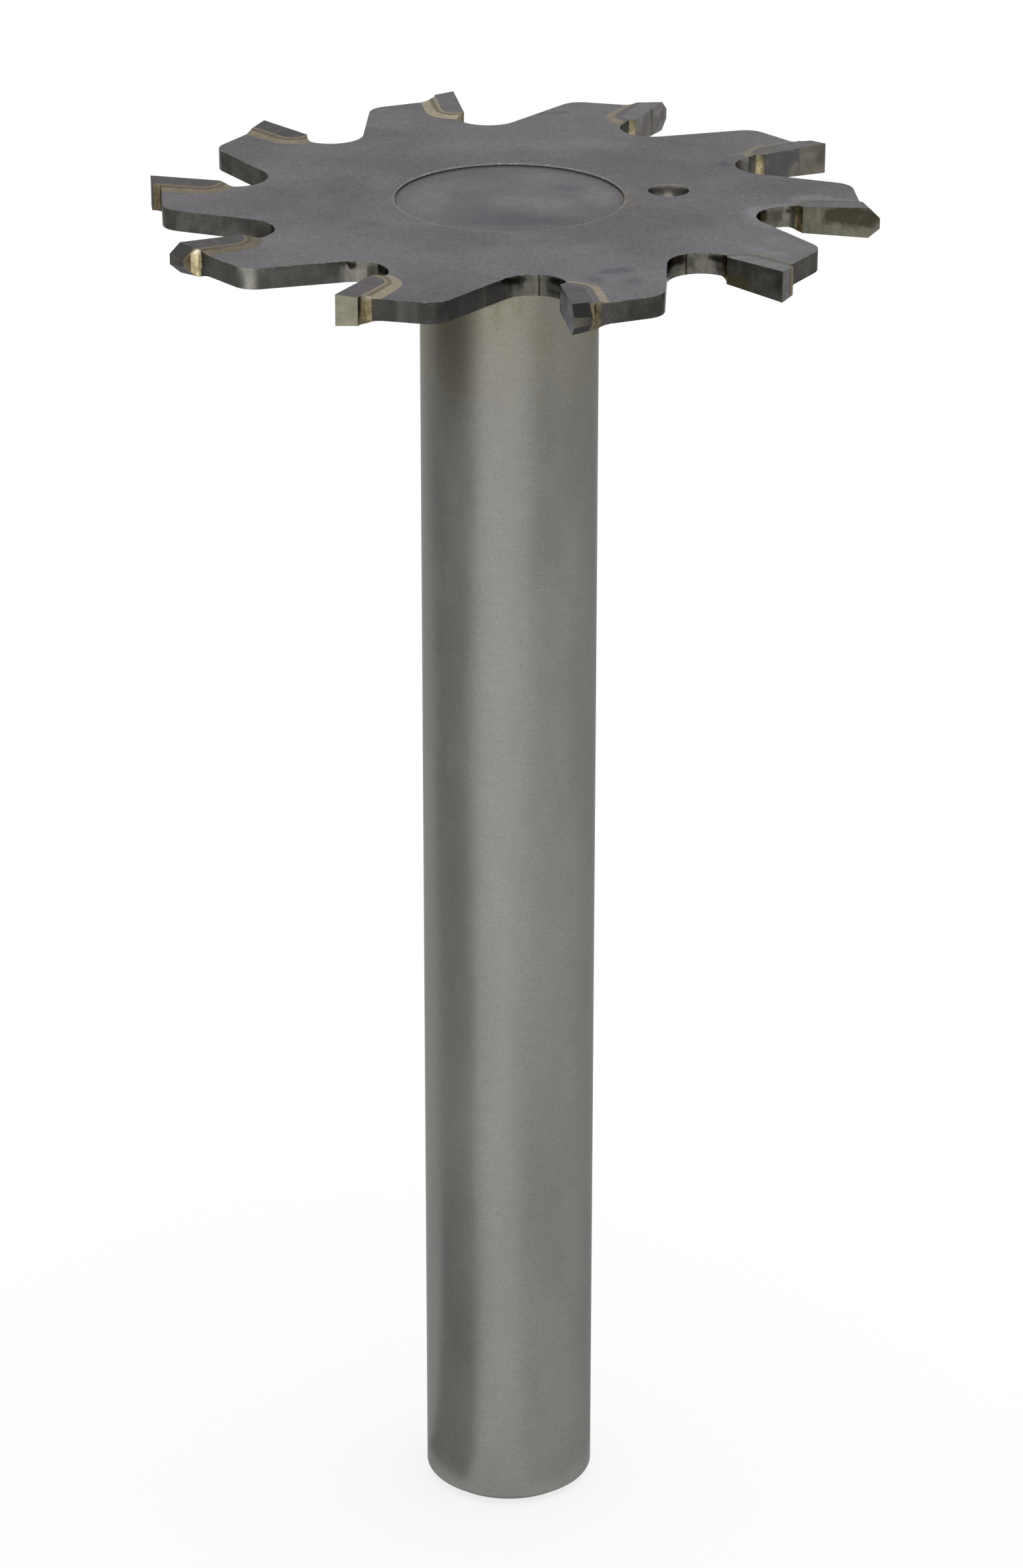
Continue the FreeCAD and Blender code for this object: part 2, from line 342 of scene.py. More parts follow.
    def from_gullet(self) -> tuple[Socket, Socket]:
        """Gives the place beside the nearest tooth's gullet, in the plate's plane.

        Returns:
            The distance from the gullet's middle, and that along its wall from the crease between two cuts.
        """
        distance, angle = self.place_around(1.0)
        half_pitch = math.pi / TOOTH_COUNT
        angle = self.less(angle, math.radians(FIRST_TOOTH_ANGLE))
        angle = self.maths("WRAP", angle, half_pitch, -half_pitch)
        x = self.less(self.product(distance, self.maths("COSINE", angle)), GULLET_X)
        y = self.less(self.product(distance, self.maths("SINE", angle)), GULLET_Y)
        beside = self.less(self.maths("ARCTAN2", y, x), math.radians(CREASE_ANGLE))
        return self.length(x, y), self.product(self.maths("ABSOLUTE", beside), GULLET_RADIUS)


@dataclass(frozen=True)
class ShankSteel:
    """Satin ground tool steel of the shank, tarnished near the plate, with painted shade under the plate and
    on its upper left side; its head is finished with the plate.
    """

    light: Colour = (0.274, 0.270, 0.252)
    dark: Colour = (0.230, 0.227, 0.218)
    tarnish: Colour = (0.262, 0.248, 0.172)
    painted_shade: Colour = (0.120, 0.110, 0.085)
    roughness: float = 0.36
    grain: float = 0.13
    tarnish_low: float = 84 * MM
    tarnish_high: float = 99 * MM
    shade_low: float = 93 * MM
    shade_high: float = 98.5 * MM
    foot_shade: float = 7 * MM
    relief_depth: float = 2.2e-6
    chamfer_top: float = 0.62 * MM
    # Painted shade: a dark oval on the upper left of the shank, placed on its unrolled surface.
    shade: Mark = Mark(-14.3, 97.5, 3.1, 14.0, 0.95, core=0.2)

    def material(self, head: "PlateSteel") -> bpy.types.Material:
        """Makes the finish.

        Args:
            head: finish of the ground face of the head, the same as the plate's.

        Returns:
            The material.
        """
        graph = ShaderGraph("shank_steel")
        _, _, z = graph.axes(graph.place)
        _, around = graph.place_around(SHANK_RADIUS)
        unrolled = graph.vector(around, z, 0.0)
        clouds = graph.noise(150.0, 4.0, graph.scaled(unrolled, (1.0, 0.35, 1.0)), 0.6)
        grain = graph.noise(12000.0, 2.0, None, 0.6)
        turning = graph.noise(6000.0, 3.0, graph.scaled(unrolled, (0.05, 1.0, 1.0)), 0.6)
        speck = graph.ramp(graph.noise(3400.0, 2.0), 0.70, 0.80)
        colour = graph.blend(graph.spread(clouds), self.dark, self.light)
        patches = graph.noise(420.0, 3.0, graph.scaled(unrolled, (1.0, 0.7, 1.0)), 0.6)
        near_plate = graph.ramp(z, self.tarnish_low, self.tarnish_high)
        tarnish = graph.product(near_plate, graph.spread(patches, 0.45, 1.0))
        colour = graph.blend(graph.product(tarnish, 0.85), colour, self.tarnish)
        # Painted shade: dark patches just under the collar and plate, then the dark oval on the upper left.
        under_plate = graph.ramp(z, self.shade_low, self.shade_high)
        smears = graph.product(under_plate, graph.ramp(patches, 0.50, 0.66), 0.45)
        colour = graph.blend(smears, colour, self.painted_shade)
        colour = graph.blend(graph.spot(unrolled, self.shade), colour, self.painted_shade)
        tone = graph.total(graph.spread(grain, 1.0 - self.grain, 1.0 + self.grain, GRAIN_MARGIN),
                           graph.spread(turning, -0.03, 0.03), graph.product(speck, 0.22))
        edge = graph.ramp(z, self.chamfer_top + 0.08 * MM, self.chamfer_top - 0.05 * MM)
        foot = graph.ramp(z, 0.0, self.foot_shade, 0.92, 1.0)
        tone = graph.product(tone, graph.between(edge, 1.0, 0.55), foot)
        colour = graph.shaded(colour, tone)
        top = graph.ramp(z, HEAD_FOOT, HEAD_FOOT + 0.2 * MM)
        head_colour, head_roughness, head_relief = head.face(graph)
        colour = graph.blend(top, colour, head_colour)
        rough = graph.total(self.roughness, graph.spread(clouds, -0.04, 0.05), graph.product(tarnish, 0.06))
        rough = graph.between(top, rough, head_roughness)
        relief = graph.total(graph.product(grain, 0.6), graph.product(turning, 0.4))
        relief = graph.between(top, relief, head_relief)
        return graph.metal(colour, rough, relief, self.relief_depth)


@dataclass(frozen=True)
class PlateSteel:
    """Ground saw steel: matt grey faces, olive cut edges, smoother gullets and bright worn corners with
    painted highlight sparkles, with painted shade and highlights on the cut edges and a painted highlight
    ring round the bore.
    """

    light: Colour = (0.196, 0.189, 0.198)
    dark: Colour = (0.160, 0.154, 0.162)
    haze: Colour = (0.268, 0.272, 0.288)
    smudge: Colour = (0.108, 0.102, 0.118)
    edge_light: Colour = (0.120, 0.117, 0.105)
    edge_dark: Colour = (0.068, 0.066, 0.060)
    edge_shade: Colour = (0.046, 0.045, 0.042)
    gullet: Colour = (0.122, 0.118, 0.098)
    glint: Colour = (0.250, 0.245, 0.220)
    bore: Colour = (0.262, 0.250, 0.232)
    worn_glint: Colour = (0.40, 0.40, 0.38)
    tan: Colour = (0.225, 0.190, 0.140)
    roughness: float = 0.46
    gullet_roughness: float = 0.17
    grain: float = 0.17
    relief_depth: float = 2.4e-6
    rim_start: float = 8.10 * MM
    rim_end: float = 8.34 * MM
    rim_fade: float = 1.5 * MM
    bore_reach: float = 8.5 * MM
    smooth_left: tuple[float, float] = (-15.0 * MM, -12.0 * MM)
    smooth_back: tuple[float, float] = (4.0 * MM, 0.0)
    gullet_halo: Mark = Mark(19.46, -4.73, 3.8, 3.8, 0.85, core=0.62)
    hazes: tuple[Mark, ...] = (
        Mark(21.9, -0.9, 3.2, 1.3, 0.80, -8.8), Mark(24.0, -2.6, 2.2, 1.0, 0.60, -8.8),
        Mark(16.9, -3.5, 0.9, 1.6, 0.50), Mark(17.2, -12.6, 2.9, 1.1, 0.55, -44.8),
        Mark(18.9, -10.8, 2.4, 1.6, 0.30, -44.8), Mark(17.1, 10.4, 1.7, 0.8, 0.50, 30.0),
        Mark(20.0, 5.4, 2.6, 1.0, 0.40, 27.2), Mark(13.2, 10.0, 3.6, 2.6, 0.20),
        Mark(-5.6, 0.3, 2.1, 4.6, 0.42), Mark(-3.0, 3.6, 3.6, 2.2, 0.30), Mark(0.2, -0.3, 2.2, 1.6, 0.30),
        Mark(3.0, -1.2, 2.6, 2.0, 0.36), Mark(6.2, 0.3, 1.5, 3.6, 0.50), Mark(2.2, 5.4, 3.0, 1.6, 0.20),
        Mark(0.5, 12.2, 8.5, 1.9, 0.22), Mark(6.6, 12.9, 3.4, 1.5, 0.18), Mark(2.5, -12.3, 7.0, 2.5, 0.24),
        Mark(-8.7, 17.6, 2.6, 1.8, 0.24), Mark(10.5, -17.6, 2.4, 1.6, 0.30),
        Mark(3.29, -9.58, 1.0, 0.13, 0.60), Mark(-15.8, -10.2, 3.0, 1.6, 0.18, 28.0),
    )
    smudges: tuple[Mark, ...] = (
        Mark(7.0, -16.9, 1.6, 0.9, 0.75, 20.0), Mark(8.3, -19.3, 1.3, 1.4, 0.50),
        Mark(5.6, -18.7, 0.9, 1.8, 0.50, 10.0), Mark(15.5, 7.7, 1.3, 0.9, 0.65, 30.0),
        Mark(-0.6, -5.0, 5.0, 2.4, 0.60), Mark(-2.4, -2.9, 2.2, 1.3, 0.35), Mark(4.1, 2.6, 1.8, 1.1, 0.50),
        Mark(3.6, -5.2, 2.6, 1.2, 0.30), Mark(-11.3, 1.4, 2.3, 5.2, 0.34),
        Mark(-9.9, -6.8, 2.7, 1.6, 0.36, 20.0), Mark(-12.2, -5.2, 2.0, 1.5, 0.28),
        Mark(3.2, 20.8, 1.8, 0.45, 0.80, 10.0), Mark(12.6, -5.0, 2.0, 2.8, 0.12),
    )
    rim_tan: Mark = Mark(8.25, -0.6, 0.7, 2.8, 0.80)
    speck: Mark = Mark(-4.73, 4.76, 0.26, 0.14, 0.9, 20.0)
    corner_glint: Mark = Mark(-17.7, -16.2, 0.95, 1.0, 1.0, core=0.15)
    shades: tuple[Mark, ...] = (
        Mark(-4.9, -23.8, 2.5, 2.4, 0.8, 10.0, 0.35), Mark(-4.9, -21.9, 3.6, 3.6, 0.8, core=0.75),
        Mark(-8.7, -23.1, 1.3, 1.6, 0.72, core=0.5), Mark(9.0, -22.2, 2.6, 1.6, 0.42, core=0.6),
        Mark(3.05, -18.6, 1.2, 1.6, 0.55, core=0.8), Mark(10.65, -14.6, 1.45, 1.9, 0.30, core=0.8),
        Mark(-0.8, -18.9, 1.4, 1.9, 0.95, core=0.7), Mark(1.3, -17.6, 1.3, 1.5, 0.22, core=0.6),
        Mark(-13.6, -15.4, 3.2, 2.0, 0.35, 10.0, 0.6), Mark(14.2, -13.5, 0.8, 1.0, 0.40, core=0.5),
    )
    lights: tuple[Mark, ...] = (
        Mark(-20.3, -13.2, 3.0, 2.2, 0.22, 40.0, 0.5), Mark(-10.4, -14.7, 1.2, 1.1, 0.45, core=0.4),
        Mark(17.3, -5.0, 1.3, 1.4, 0.90, core=0.6), Mark(18.5, 7.6, 3.2, 3.2, 0.52, core=0.75),
        Mark(-21.1, -3.6, 2.8, 2.8, 0.08, core=0.5), Mark(-6.8, -23.4, 0.9, 1.4, 0.10, core=0.5),
    )
    hole: Mark = Mark(11.21, 1.46, 1.75, 1.75, 1.0, core=0.9)

    def face(self, graph: ShaderGraph) -> tuple[Socket, Socket, Socket]:
        """Makes the finish of the ground faces.

        Args:
            graph: the node tree that it is built in.

        Returns:
            Colour, roughness and relief of the faces.
        """
        clouds = graph.noise(95.0, 4.0, None, 0.55)
        smears = graph.noise(130.0, 4.0, graph.scaled(graph.place, (0.6, 1.6, 1.0)), 0.6)
        grain = graph.noise(GRAIN_SCALE, 2.0, None, 0.65)
        fine = graph.noise(3000.0, 3.0, None, 0.6)
        scratch = graph.ramp(graph.noise(900.0, 3.0, graph.scaled(
            graph.turned(graph.place, 24.0), (0.12, 4.0, 1.0)), 0.6), 0.66, 0.74)
        colour = graph.blend(graph.spread(clouds, margin=0.36), self.dark, self.light)
        colour = graph.blend(graph.ramp(smears, 0.56, 0.78, 0.0, 0.16), colour, self.haze)
        _, y, z = graph.axes(graph.place)
        upper = graph.ramp(z, UPPER_SIDE - 0.1 * MM, UPPER_SIDE + 0.1 * MM)
        place = graph.warped(520.0, 0.9 * MM)
        blotch = graph.ramp(graph.noise(900.0, 4.0, None, 0.65), 0.30, 0.62, 0.5, 1.0)
        haze = graph.total(graph.spots(place, self.hazes), graph.spot(graph.place, self.gullet_halo))
        colour = graph.blend(graph.product(haze, blotch, upper), colour, self.haze)
        smudged = graph.spots(place, self.smudges)
        colour = graph.blend(graph.product(smudged, blotch, upper), colour, self.smudge)
        tanned = graph.spot(place, self.rim_tan)
        colour = graph.blend(graph.product(tanned, blotch, upper), colour, self.tan)
        speck = graph.product(graph.spot(graph.place, self.speck), upper)
        colour = graph.blend(speck, colour, self.edge_dark)
        # Painted highlight: a thin lighter ring round the bore on the upper face, fading out towards the
        # back.
        distance, _ = graph.place_around(1.0)
        rim_highlight = graph.product(graph.ramp(distance, self.rim_start, self.rim_start + 0.08 * MM),
                            graph.ramp(distance, self.rim_end, self.rim_end - 0.12 * MM),
                            graph.ramp(y, self.rim_fade, -self.rim_fade), upper)
        colour = graph.blend(graph.product(rim_highlight, blotch, 0.7), colour, self.haze)
        tone = graph.total(graph.spread(grain, 1.0 - self.grain, 1.0 + self.grain, GRAIN_MARGIN),
                           graph.spread(fine, -0.08, 0.08), graph.product(scratch, 0.08))
        roughness = graph.total(self.roughness, graph.spread(clouds, 0.04, -0.04))
        relief = graph.total(graph.product(grain, 0.7), graph.product(scratch, 0.5))
        return graph.shaded(colour, tone), roughness, relief

    def material(self) -> bpy.types.Material:
        """Makes the finish.

        Returns:
            The material.
        """
        graph = ShaderGraph("plate_steel")
        up = graph.upward()
        face_colour, face_roughness, face_relief = self.face(graph)
        streaks = graph.noise(2600.0, 3.0, graph.scaled(graph.place, (1.0, 1.0, 0.16)), 0.65)
        mottle = graph.noise(9000.0, 3.0, None, 0.7)
        patches = graph.noise(420.0, 3.0, None, 0.6)
        side = graph.blend(graph.spread(patches, margin=0.35), self.edge_dark, self.edge_light)
        x, y, _ = graph.axes(graph.place)
        away, crease = graph.from_gullet()
        gullet = graph.product(graph.ramp(away, GULLET_RADIUS + 0.07 * MM, GULLET_RADIUS + 0.02 * MM),
                               graph.ramp(x, *self.smooth_left), graph.ramp(y, *self.smooth_back))
        smooth = graph.shaded(self.gullet, graph.spread(streaks, 0.86, 1.12))
        # Painted shade: the gullet's wall darkens along the crease between its two cuts.
        smooth = graph.shaded(smooth, graph.ramp(crease, 0.05 * MM, 0.11 * MM, 0.30, 1.0))
        side = graph.blend(gullet, side, smooth)
        side = graph.blend(graph.spots(graph.place, self.shades), side, self.edge_shade)
        side = graph.blend(graph.spots(graph.place, self.lights), side, self.glint)
        side = graph.blend(graph.spot(graph.place, self.corner_glint), side, self.glint)
        side = graph.shaded(side, graph.spread(streaks, 0.93, 1.08))
        side = graph.shaded(side, graph.spread(mottle, 0.82, 1.18))
        distance, _ = graph.place_around(1.0)
        bore = graph.ramp(distance, self.bore_reach + 0.1 * MM, self.bore_reach - 0.1 * MM)
        side = graph.blend(graph.spot(graph.place, self.hole), side, self.bore)
        side = graph.blend(bore, side, self.bore)
        faces = graph.ramp(up, 0.90, 0.985)
        colour = graph.blend(faces, side, face_colour)
        corner = graph.product(graph.ramp(up, 0.08, 0.4), graph.ramp(up, 0.995, 0.93))
        colour = graph.blend(graph.product(corner, bore), colour, self.light)
        # Painted highlight: bright sparkles on the rounded edges, in a worn bright metal colour.
        sparkle = graph.product(graph.ramp(graph.noise(5200.0, 2.0), 0.50, 0.64),
                                graph.ramp(patches, 0.42, 0.58, 0.15, 1.0))
        colour = graph.blend(graph.product(corner, sparkle, 0.7), colour, self.worn_glint)
        rough = graph.between(gullet, graph.spread(mottle, 0.26, 0.34), self.gullet_roughness)
        rough = graph.between(faces, rough, face_roughness)
        rough = graph.between(graph.product(corner, sparkle), rough, 0.26)
        side_relief = graph.total(graph.product(streaks, 0.5), graph.product(mottle, 0.8))
        return graph.metal(colour, rough, graph.between(faces, side_relief, face_relief), self.relief_depth)


@dataclass(frozen=True)
class Carbide:
    """Ground carbide: fine marks on the sides, a stained cutting face and end that differ by tooth, and
    chamfers darkened with painted shade.

    The stain's half sizes, and its place out from the axis and up from the plate's middle, are in
    millimetres.
    """

    number: int = 1
    tooth_angle: float = 0.0
    side: Colour = (0.115, 0.109, 0.112)
    rake: Colour = (0.085, 0.081, 0.074)
    end: Colour = (0.085, 0.083, 0.085)
    corner: Colour = (0.042, 0.041, 0.044)
    stain: Colour = (0.034, 0.031, 0.014)
    stain_share: float = 0.25
    stain_place: tuple[float, float] = (23.0, 0.0)
    stain_size: tuple[float, float] = (2.0, 1.0)
    mottle: float = 0.3
    lined: float = 0.0
    braze_run: float = 0.0
    run: Colour = (0.300, 0.262, 0.170)
    run_edge: Colour = (0.160, 0.130, 0.080)
    run_border: tuple[float, float] = (0.05 * MM, 0.25 * MM)
    thickness: float = 1.5 * MM
    relief_depth: float = 2.5e-6

    def material(self) -> bpy.types.Material:
        """Makes the finish.

        Returns:
            The material.
        """
        graph = ShaderGraph(f"carbide_{self.number:02d}")
        up = graph.upward()
        here = graph.turned(graph.place, self.tooth_angle)
        normal = graph.turned(graph.normal, self.tooth_angle)
        facing_out = graph.axes(normal)[0]
        faces = graph.ramp(up, 0.5, 0.9)
        outer_end = graph.product(graph.ramp(facing_out, 0.6, 0.85), graph.ramp(up, 0.9, 0.6))
        lines = graph.noise(2400.0, 3.0, graph.scaled(here, (1.0, 0.4, 0.06)), 0.7)
        side_lines = graph.noise(2600.0, 3.0, graph.scaled(here, (1.0, 0.10, 1.0)), 0.6)
        grain = graph.noise(GRAIN_SCALE)
        clouds = graph.noise(620.0, 3.0, graph.scaled(here, (1.0, 1.0, 1.3)), 0.6)
        wide = graph.noise(330.0, 3.0, here, 0.55)
        rake = graph.shaded(self.rake, graph.spread(lines, 0.84, 1.18))
        rake = graph.shaded(rake, graph.spread(wide, 1.0 - self.mottle, 1.0 + self.mottle, 0.35))
        x, y, z = graph.axes(here)
        along, height = self.stain_place
        aside = graph.maths("DIVIDE", graph.less(x, along * MM), self.stain_size[0] * MM)
        above = graph.less(z, PLATE_MIDDLE + height * MM)
        above = graph.maths("DIVIDE", above, self.stain_size[1] * MM)
        away = graph.total(graph.length(aside, above), graph.spread(clouds, -0.35, 0.35),
                           graph.spread(wide, -0.40, 0.40))
        stained = graph.product(graph.ramp(away, 1.35, 0.55), self.stain_share)
        rake = graph.blend(stained, rake, self.stain)
        line = graph.noise(640.0, 1.0, graph.scaled(here, (1.0, 0.4, 0.05)), 0.5)
        line = graph.ramp(graph.maths("ABSOLUTE", graph.less(line, 0.5)), 0.006, 0.016, self.lined, 0.0)
        rake = graph.blend(line, rake, self.stain)
        side = graph.shaded(self.side, graph.spread(side_lines, 0.86, 1.14))
        end = graph.shaded(self.end, graph.spread(clouds, 0.80, 1.20))
        colour = graph.blend(outer_end, rake, end)
        # Painted shade: the chamfers get the darker corner colour.
        colour = graph.blend(graph.ramp(up, 0.35, 0.6), colour, self.corner)
        colour = graph.blend(graph.ramp(up, 0.80, 0.93), colour, side)
        if self.braze_run > 0.0:
            into = graph.total(graph.less(y, self.thickness - self.braze_run),
                               graph.spread(clouds, -0.06 * MM, 0.06 * MM))
            run = graph.blend(graph.ramp(into, *self.run_border), self.run_edge, self.run)
            bare = graph.maths("MAXIMUM", facing_out, graph.axes(normal)[1])
            covered = graph.product(graph.ramp(into, -0.03 * MM, 0.03 * MM), graph.ramp(bare, 0.3, 0.5))
            colour = graph.blend(covered, colour, run)
        colour = graph.shaded(colour, graph.spread(grain, 0.9, 1.1, GRAIN_MARGIN))
        rough = graph.between(faces, graph.spread(clouds, 0.28, 0.38), 0.38)
        relief = graph.between(faces, lines, graph.product(side_lines, 0.6))
        relief = graph.total(relief, graph.product(grain, 0.3))
        return graph.metal(colour, rough, relief, self.relief_depth)


@dataclass(frozen=True)
class Braze:
    """Dull tan silver braze, ground flat on the faces and bright where it was left as it ran; a painted shade
    line runs in the hollow beside the tip, the bead's crown has a painted highlight, and each tooth's faces
    are lightened or darkened as painted light and shade.
    """

    name: str = "braze"
    tooth_angle: float = 0.0
    ground: Colour = (0.190, 0.165, 0.122)
    pale: Colour = (0.290, 0.258, 0.195)
    hollow_shade: Colour = (0.115, 0.092, 0.062)
    bead: Colour = (0.330, 0.285, 0.170)
    bead_dark: Colour = (0.185, 0.150, 0.085)
    crown_highlight: Colour = (0.50, 0.46, 0.38)
    tan_share: float = 1.0
    tan_from: float = 0.0
    flat_light_level: float = 1.0
    upright_light_level: float = 1.0
    bead_reach: float = 2.0 * MM
    crown_highlight_share: float = 0.35
    crown_height: tuple[float, float] = (102.55 * MM, 102.90 * MM)
    groove_near: tuple[float, float] = (0.12 * MM, 0.26 * MM)
    groove_far: tuple[float, float] = (0.62 * MM, 0.40 * MM)
    seam: tuple[float, float] = (0.16 * MM, 0.04 * MM)
    seam_upright: tuple[float, float] = (0.14 * MM, 0.04 * MM)
    wall_tone: Colour = (0.078, 0.075, 0.066)
    plate_tone: Colour = (0.150, 0.146, 0.154)
    tip_inner: float = 20.65 * MM
    tip_thickness: float = 1.5 * MM
    tip_corner: float = 1.2 * MM
    relief_depth: float = 10e-6

    def from_tip(self, graph: ShaderGraph) -> Socket:
        """Gives the distance from the outline of the carbide tip.

        Args:
            graph: the node tree that it is built in.

        Returns:
            The distance in metres.
        """
        x, y, _ = graph.axes(graph.turned(graph.place, self.tooth_angle))
        inward = graph.maths("MAXIMUM", graph.less(self.tip_inner + self.tip_corner, x), 0.0)
        back = graph.maths("MAXIMUM", graph.less(y, self.tip_thickness - self.tip_corner), 0.0)
        return graph.less(graph.length(inward, back), self.tip_corner)

    def material(self) -> bpy.types.Material:
        """Makes the finish.

        Returns:
            The material.
        """
        graph = ShaderGraph(self.name)
        up = graph.upward()
        mottle = graph.noise(1500.0, 4.0, None, 0.65)
        grain = graph.noise(GRAIN_SCALE, 2.0, None, 0.6)
        runs = graph.noise(2400.0, 3.0, graph.scaled(graph.place, (1.0, 1.0, 0.6)), 0.6)
        flats = graph.ramp(up, 0.45, 0.8)
        away = graph.total(self.from_tip(graph), graph.spread(mottle, -0.04 * MM, 0.04 * MM))
        # Painted light and shade: the flat faces are lightened or darkened by a level given per tooth.
        ground, pale = lit(self.ground, self.flat_light_level), lit(self.pale, self.flat_light_level)
        flat = graph.blend(graph.spread(mottle, 0.25, 0.75, 0.35), ground, pale)
        # Painted shade: a dark line in the hollow of the fillet, a little way out from the tip.
        line = graph.product(graph.ramp(away, *self.groove_near), graph.ramp(away, *self.groove_far))
        flat = graph.blend(graph.product(line, 0.7), flat, self.hollow_shade)
        flat = graph.blend(graph.ramp(away, *self.seam, 0.0, 0.7), flat, self.pale)
        bare = 1.0 - self.tan_share
        if self.tan_from > 0.0:
            bare = graph.ramp(away, self.tan_from - 0.15 * MM, self.tan_from + 0.10 * MM, 0.9, bare)
        flat = graph.blend(bare, flat, self.plate_tone)
        # Painted light and shade: the upright faces are lightened or darkened by a level given per tooth.
        dark, bright = lit(self.bead_dark, self.upright_light_level), lit(self.bead, self.upright_light_level)
        upright = graph.blend(graph.spread(runs, margin=0.38), dark, bright)
        _, _, z = graph.axes(graph.place)
        # Painted highlight: the bead is lightened towards its crown.
        high = graph.ramp(z, *self.crown_height, 0.0, self.crown_highlight_share)
        upright = graph.blend(high, upright, lit(self.crown_highlight, self.upright_light_level))
        upright = graph.blend(graph.ramp(away, *self.seam_upright, 0.0, 0.6), upright, dark)
        beyond = graph.ramp(away, self.bead_reach - 0.05 * MM, self.bead_reach + 0.05 * MM)
        upright = graph.blend(beyond, upright, self.wall_tone)
        colour = graph.blend(flats, upright, flat)
        colour = graph.shaded(colour, graph.spread(grain, 0.88, 1.12, GRAIN_MARGIN))
        relief = graph.total(runs, graph.product(mottle, 0.5))
        return graph.metal(colour, graph.between(flats, 0.27, 0.42), relief, self.relief_depth)


def lit(colour: Colour, level: float) -> Colour:
    """Makes a colour lighter or darker."""
    return tuple(level * part for part in colour)


def wear(node: bpy.types.Object, width: float) -> None:
    """Rounds the sharp edges of a CAD solid a little, without changing its mesh.

    Args:
        node: the solid's object.
        width: width of the rounding in metres.
    """
    weld = node.modifiers.new("join_edges", "WELD")
    weld.merge_threshold = 1e-7
    join = node.modifiers.new("join_flats", "DECIMATE")
    join.decimate_type = "DISSOLVE"
    join.angle_limit = math.radians(0.4)
    rounding = node.modifiers.new("worn_edges", "BEVEL")
    rounding.limit_method = "ANGLE"
    rounding.angle_limit = math.radians(32)
    rounding.width = width
    rounding.segments = 2
    rounding.use_clamp_overlap = True
    smooth = node.modifiers.new("even_shading", "WEIGHTED_NORMAL")
    smooth.keep_sharp = False
    smooth.weight = 100


def dress(piece: bpy.types.Object, material: bpy.types.Material) -> None:
    """Gives a piece one material all over."""
    piece.data.materials.clear()
    piece.data.materials.append(material)


@dataclass
class Shank:
    """The turned shank with its collar and the head that fills the plate's bore."""

    node: str = "shank"
    radius: float = SHANK_RADIUS
    length: float = 99.3 * MM
    chamfer_width: float = 0.8 * MM
    chamfer_height: float = 0.6 * MM
    chamfer_wear: float = 0.03 * MM
    foot_wear: float = 0.02 * MM
    collar_radius: float = 9.5 * MM
    collar_top: float = 101.3 * MM
    collar_fillet: float = 1.0 * MM
    collar_break: float = 0.3 * MM
    head_radius: float = 7.99 * MM
    head_top: float = 102.62 * MM
    head_break: float = 0.05 * MM
    segments: int = 256
    shank_rows: int = 40
    fillet_steps: int = 8
    head_rings: int = 12

    def profile(self) -> list[tuple[float, float]]:
        """Gives the turned outline.

        Returns:
            Points of radius and height from the middle of the end face to the middle of the head.
        """
        points = [(self.radius * part / 4, 0.0) for part in (0.02, 1, 2, 3)]
        chamfer_top = self.chamfer_height + self.chamfer_wear
        points += [(self.radius - self.chamfer_width - self.chamfer_wear, 0.0),
                   (self.radius - self.chamfer_width + self.foot_wear, self.foot_wear),
                   (self.radius - self.chamfer_wear, self.chamfer_height - self.chamfer_wear),
                   (self.radius, chamfer_top)]
        shank_top = self.length - self.collar_fillet
        points += [(self.radius, chamfer_top + (shank_top - self.chamfer_height) * row / self.shank_rows)
                   for row in range(1, self.shank_rows)]
        for step in range(self.fillet_steps + 1):
            angle = math.radians(90 * step / self.fillet_steps)
            points.append((self.radius + self.collar_fillet * (1 - math.cos(angle)),
                           shank_top + self.collar_fillet * math.sin(angle)))
        points += [(self.collar_radius - self.collar_break, self.length),
                   (self.collar_radius, self.length + self.collar_break),
                   (self.collar_radius, self.collar_top - self.collar_break),
                   (self.collar_radius - self.collar_break, self.collar_top),
                   (self.head_radius, self.collar_top),
                   (self.head_radius, self.head_top - self.head_break),
                   (self.head_radius - self.head_break * 0.3, self.head_top - self.head_break * 0.3),
                   (self.head_radius - self.head_break, self.head_top)]
        points += [(self.head_radius * (self.head_rings - ring) / self.head_rings, self.head_top)
                   for ring in range(1, self.head_rings)]
        return points

    def build(self) -> bpy.types.Object:
        """Turns the outline round the axis, in place of the CAD solid.

        Returns:
            The new piece.
        """
        mesh = bmesh.new()
        rings = []
        for radius, height in self.profile():
            rings.append([mesh.verts.new((radius * math.cos(2 * math.pi * turn / self.segments),
                                          radius * math.sin(2 * math.pi * turn / self.segments), height))
                          for turn in range(self.segments)])
        for lower, upper in zip(rings, rings[1:]):
            for turn in range(self.segments):
                after = (turn + 1) % self.segments
                mesh.faces.new((lower[turn], lower[after], upper[after], upper[turn]))
        for ring, height in ((rings[0], 0.0), (rings[-1], self.head_top)):
            middle = mesh.verts.new((0.0, 0.0, height))
            for turn in range(self.segments):
                mesh.faces.new((middle, ring[turn], ring[(turn + 1) % self.segments]))
        bmesh.ops.recalc_face_normals(mesh, faces=mesh.faces)
        data = bpy.data.meshes.new("shank_turned")
        mesh.to_mesh(data)
        mesh.free()
        data.polygons.foreach_set("use_smooth", [True] * len(data.polygons))
        piece = bpy.data.objects.new("shank_turned", data)
        bpy.context.scene.collection.objects.link(piece)
        piece.data.set_sharp_from_angle(angle=math.radians(25))
        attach(piece, ROOT)
        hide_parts(self.node)
        return piece


